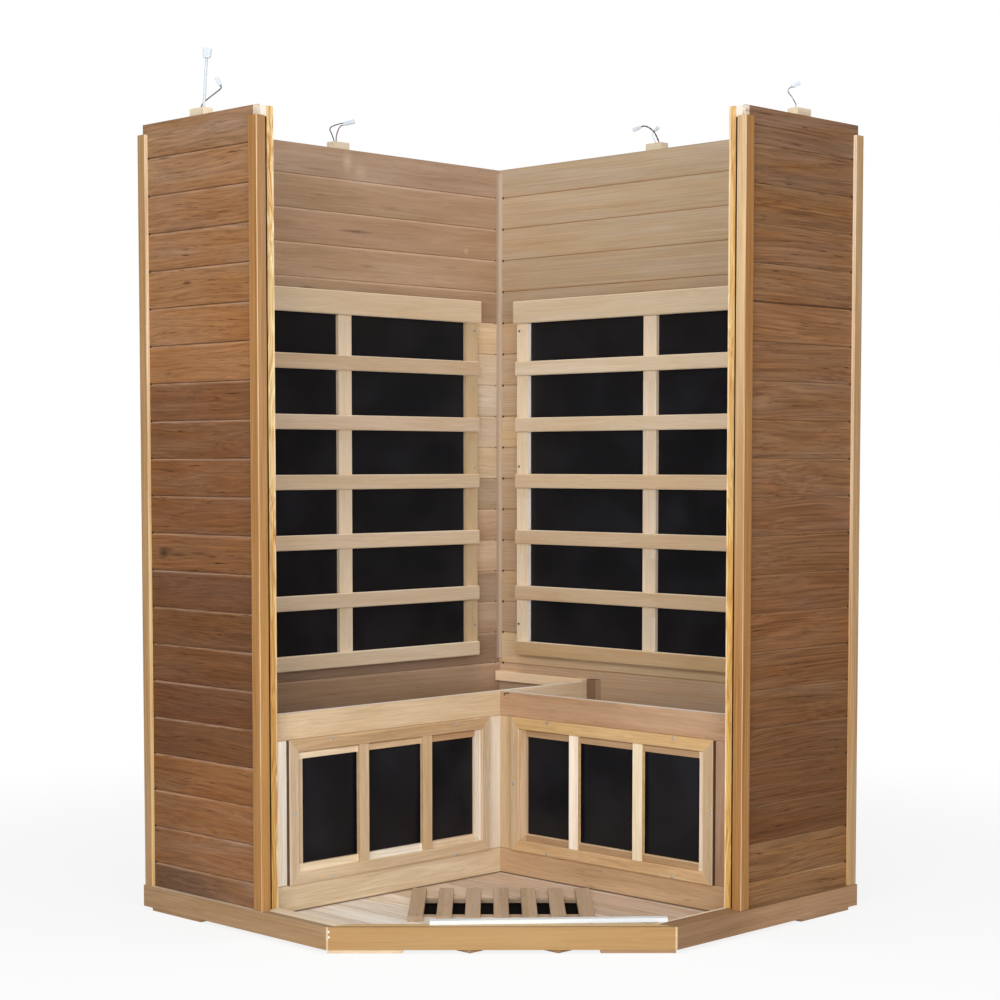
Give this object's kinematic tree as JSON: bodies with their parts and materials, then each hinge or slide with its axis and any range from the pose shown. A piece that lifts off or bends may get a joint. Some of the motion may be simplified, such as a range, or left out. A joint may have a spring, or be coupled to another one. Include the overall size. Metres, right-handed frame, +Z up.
{
  "type": "infrared sauna cabin",
  "caption": "Corner infrared sauna cabin part way through assembly: base with floor grate, boarded walls, slatted wall heaters and framed bench-front heaters.",
  "frame": {"origin": "middle of the base box on the floor", "axes": "+Z up, the open front faces -Y, +X to the right of someone looking in"},
  "size_m": [1.6966, 1.3158, 1.9943],
  "materials": {
    "outer_board": "red cedar boards, satin oil",
    "lining": "cedar lining boards, untreated",
    "pale_wood": "pale planed softwood",
    "bench_wood": "planed cedar",
    "gold_wood": "golden planed trim",
    "skirt_wood": "lacquered skirt board",
    "floor_wood": "pale floor boards",
    "rough_wood": "sawn packing wood",
    "heater": "black carbon heater panel",
    "sill": "white coated channel",
    "plug": "white connector housing",
    "white_cable": "white sheathed cable",
    "black_wire": "black insulated wire",
    "red_wire": "red insulated wire"
  },
  "bodies": {
    "cabin": {"base_skirt_front": "skirt_wood", "base_skirt_left": "skirt_wood", "base_skirt_right": "skirt_wood", "base_skirt_back_left": "skirt_wood", "base_skirt_back_right": "skirt_wood", "base_underframe": "rough_wood", "foot_pad_front_left": "rough_wood", "foot_pad_front_right": "rough_wood", "foot_pad_left": "rough_wood", "foot_pad_right": "rough_wood", "floor_deck": "floor_wood", "floor_heater": "heater", "left_wall_outer_boards": "outer_board", "left_wall_core": "pale_wood", "left_wall_lining": "lining", "right_wall_outer_boards": "outer_board", "right_wall_core": "pale_wood", "right_wall_lining": "lining", "back_left_wall_outer_boards": "outer_board", "back_left_wall_core": "pale_wood", "back_left_wall_lining": "lining", "back_right_wall_outer_boards": "outer_board", "back_right_wall_core": "pale_wood", "back_right_wall_lining": "lining", "front_corner_trim_left": "gold_wood", "rear_corner_trim_left": "gold_wood", "front_batten_left": "gold_wood", "wall_heater_left": "heater", "wall_grille_left": "pale_wood", "front_corner_trim_right": "gold_wood", "rear_corner_trim_right": "gold_wood", "front_batten_right": "gold_wood", "wall_heater_right": "heater", "wall_grille_right": "pale_wood", "inner_corner_bead": "gold_wood", "bench_cleat": "pale_wood", "bench_guide_post": "pale_wood", "wire_block_left": "pale_wood", "wire_block_right": "pale_wood", "wire_block_back_left": "pale_wood", "wire_block_back_right": "pale_wood", "lamp_cable": "white_cable", "left_lead": "black_wire", "back_left_lead_black": "black_wire", "back_left_lead_red": "red_wire", "back_right_lead": "red_wire", "right_lead": "black_wire", "lamp_plug": "plug", "left_plug": "plug", "back_left_plug": "plug", "back_right_plug": "plug", "right_plug": "plug"},
    "floor_grate": {"floor_grate": "pale_wood"},
    "bench_left": {"bench_front_left": "bench_wood", "bench_heater_left": "heater", "bench_heater_frame_left": "bench_wood"},
    "bench_right": {"bench_front_right": "bench_wood", "bench_heater_right": "heater", "bench_heater_frame_right": "bench_wood"},
    "sill_strip": {"door_sill_strip": "sill"}
  },
  "joints": [
    {"name": "floor_grate_lift", "type": "slide", "parent": "cabin", "child": "floor_grate", "axis": [0, 0, 1], "range_m": [0, 0.3]},
    {"name": "bench_left_lift", "type": "slide", "parent": "cabin", "child": "bench_left", "axis": [0, 0, 1], "range_m": [0, 0.05]},
    {"name": "bench_right_lift", "type": "slide", "parent": "cabin", "child": "bench_right", "axis": [0, 0, 1], "range_m": [0, 0.45]},
    {"name": "sill_strip_lift", "type": "slide", "parent": "cabin", "child": "sill_strip", "axis": [0, 0, 1], "range_m": [0, 0.2]}
  ]
}
